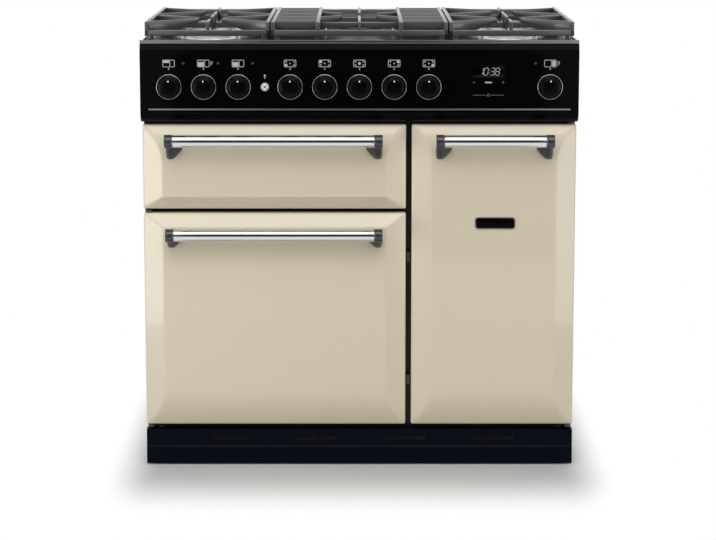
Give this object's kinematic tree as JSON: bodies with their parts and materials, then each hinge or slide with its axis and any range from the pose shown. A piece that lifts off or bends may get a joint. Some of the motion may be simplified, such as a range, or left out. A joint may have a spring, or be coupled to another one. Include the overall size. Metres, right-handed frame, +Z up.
{
  "type": "dual fuel range cooker",
  "caption": "Freestanding range cooker with a gas hob, two side-hinged ovens, a sliding grill drawer, a black control panel and chrome bar handles.",
  "frame": {"origin": "on the floor, below the middle of the whole cooker's width and depth", "axes": "+X to the right seen from the front, +Y to the back, +Z up"},
  "size_m": [0.9, 0.65, 0.9302],
  "materials": {
    "black_enamel": "satin black vitreous enamel",
    "gloss_black": "high gloss black enamel",
    "navy_plinth": "satin blue-black enamel",
    "zinc_steel": "zinc coated sheet steel",
    "chrome_steel": "polished chrome plating",
    "pewter": "dark pewter plating",
    "lamp_lens": "dark red lens and smoked clock window",
    "cast_alloy": "machined cast aluminium",
    "white_ceramic": "glazed white ceramic",
    "brass_fitting": "machined brass and plated tube",
    "switch_body": "moulded plastic",
    "oven_enamel": "speckled dark grey oven enamel",
    "mineral_wool": "mineral wool",
    "element_steel": "heat stained steel sheath",
    "seal_rope": "heat resistant seal",
    "cream_enamel": "gloss cream vitreous enamel",
    "knob_black": "gloss black moulding",
    "button_white": "white moulding",
    "cast_iron": "matt black enamelled cast iron"
  },
  "bodies": {
    "root": {"side_panels": "black_enamel", "back_panel": "zinc_steel", "base_chassis": "zinc_steel", "levelling_feet": "chrome_steel", "front_frame": "black_enamel", "plinth": "navy_plinth", "hotplate": "black_enamel", "rear_vent": "zinc_steel", "control_panel": "gloss_black", "panel_trim": "chrome_steel", "knob_bezels": "chrome_steel", "panel_lights": "lamp_lens", "burner_bodies": "cast_alloy", "burner_caps": "black_enamel", "spark_electrodes": "white_ceramic", "gas_rail": "brass_fitting", "oven_switches": "switch_body", "left_oven_liner": "oven_enamel", "right_oven_liner": "oven_enamel", "grill_chamber": "oven_enamel", "insulation": "mineral_wool", "heating_elements": "element_steel", "fan_covers": "oven_enamel", "fan_motors": "zinc_steel", "shelf_ladders": "chrome_steel", "oven_shelves": "chrome_steel", "door_hardware": "chrome_steel", "door_seals": "seal_rope", "drawer_outer_runners": "zinc_steel", "terminal_box": "switch_body"},
    "left_door": {"left_door_skin": "cream_enamel", "left_door_inner": "oven_enamel", "left_handle_bar": "chrome_steel", "left_handle_brackets": "pewter"},
    "right_door": {"right_door_skin": "cream_enamel", "right_door_inner": "oven_enamel", "right_handle_bar": "chrome_steel", "right_handle_brackets": "pewter"},
    "grill_drawer": {"drawer_front": "cream_enamel", "drawer_carriage": "zinc_steel", "drawer_handle_bar": "chrome_steel", "drawer_handle_brackets": "pewter", "grill_pan": "black_enamel", "grill_rack": "chrome_steel"},
    "middle_runners": {"drawer_middle_runners": "zinc_steel"},
    "grill_knob": {"grill_knob": "knob_black"},
    "oven_function_knob": {"oven_function_knob": "knob_black"},
    "left_oven_knob": {"left_oven_knob": "knob_black"},
    "gas_knob_1": {"gas_knob_1": "knob_black"},
    "gas_knob_2": {"gas_knob_2": "knob_black"},
    "gas_knob_3": {"gas_knob_3": "knob_black"},
    "gas_knob_4": {"gas_knob_4": "knob_black"},
    "gas_knob_5": {"gas_knob_5": "knob_black"},
    "right_oven_knob": {"right_oven_knob": "knob_black"},
    "light_button": {"light_button": "button_white"},
    "left_pan_support": {"left_pan_support": "cast_iron"},
    "centre_pan_support": {"centre_pan_support": "cast_iron"},
    "right_pan_support": {"right_pan_support": "cast_iron"},
    "left_fan": {"left_fan": "cast_alloy"},
    "right_fan": {"right_fan": "cast_alloy"}
  },
  "joints": [
    {"name": "door_left_hinge", "type": "hinge", "parent": "root", "child": "left_door", "pos_m": [-0.438, -0.245, 0.31], "axis": [0, 0, -1], "range_deg": [0, 110]},
    {"name": "door_right_hinge", "type": "hinge", "parent": "root", "child": "right_door", "pos_m": [0.438, -0.245, 0.4], "axis": [0, 0, 1], "range_deg": [0, 110]},
    {"name": "drawer_slide", "type": "slide", "parent": "root", "child": "grill_drawer", "axis": [0, -1, 0], "range_m": [0, 0.36]},
    {"name": "drawer_slide_runner", "type": "slide", "parent": "root", "child": "middle_runners", "axis": [0, -1, 0], "range_m": [0, 0.18]},
    {"name": "fan_left_spin", "type": "hinge", "parent": "root", "child": "left_fan", "pos_m": [-0.17575, 0.2, 0.31125], "axis": [0, 1, 0], "continuous": true},
    {"name": "fan_right_spin", "type": "hinge", "parent": "root", "child": "right_fan", "pos_m": [0.278, 0.2, 0.4035], "axis": [0, 1, 0], "continuous": true},
    {"name": "grill_knob_turn", "type": "hinge", "parent": "root", "child": "grill_knob", "pos_m": [-0.3905, -0.285, 0.8], "axis": [0, 1, 0], "range_deg": [0, 290]},
    {"name": "oven_function_knob_turn", "type": "hinge", "parent": "root", "child": "oven_function_knob", "pos_m": [-0.3195, -0.285, 0.8], "axis": [0, 1, 0], "range_deg": [0, 290]},
    {"name": "left_oven_knob_turn", "type": "hinge", "parent": "root", "child": "left_oven_knob", "pos_m": [-0.2485, -0.285, 0.8], "axis": [0, 1, 0], "range_deg": [0, 290]},
    {"name": "gas_knob_1_turn", "type": "hinge", "parent": "root", "child": "gas_knob_1", "pos_m": [-0.142, -0.285, 0.8], "axis": [0, 1, 0], "range_deg": [-270, 0]},
    {"name": "gas_knob_2_turn", "type": "hinge", "parent": "root", "child": "gas_knob_2", "pos_m": [-0.071, -0.285, 0.8], "axis": [0, 1, 0], "range_deg": [-270, 0]},
    {"name": "gas_knob_3_turn", "type": "hinge", "parent": "root", "child": "gas_knob_3", "pos_m": [0, -0.285, 0.8], "axis": [0, 1, 0], "range_deg": [-270, 0]},
    {"name": "gas_knob_4_turn", "type": "hinge", "parent": "root", "child": "gas_knob_4", "pos_m": [0.071, -0.285, 0.8], "axis": [0, 1, 0], "range_deg": [-270, 0]},
    {"name": "gas_knob_5_turn", "type": "hinge", "parent": "root", "child": "gas_knob_5", "pos_m": [0.142, -0.285, 0.8], "axis": [0, 1, 0], "range_deg": [-270, 0]},
    {"name": "right_oven_knob_turn", "type": "hinge", "parent": "root", "child": "right_oven_knob", "pos_m": [0.3905, -0.285, 0.8], "axis": [0, 1, 0], "range_deg": [0, 290]},
    {"name": "light_button_press", "type": "slide", "parent": "root", "child": "light_button", "axis": [0, 1, 0], "range_m": [0, 0.002], "stiffness_N_per_m": 400},
    {"name": "pan_support_left_lift", "type": "slide", "parent": "root", "child": "left_pan_support", "axis": [0, 0, 1], "range_m": [0, 0.08]},
    {"name": "pan_support_centre_lift", "type": "slide", "parent": "root", "child": "centre_pan_support", "axis": [0, 0, 1], "range_m": [0, 0.08]},
    {"name": "pan_support_right_lift", "type": "slide", "parent": "root", "child": "right_pan_support", "axis": [0, 0, 1], "range_m": [0, 0.08]}
  ],
  "couplings": [
    {"joint": "drawer_slide_runner", "follows": "drawer_slide", "ratio": 0.5}
  ]
}
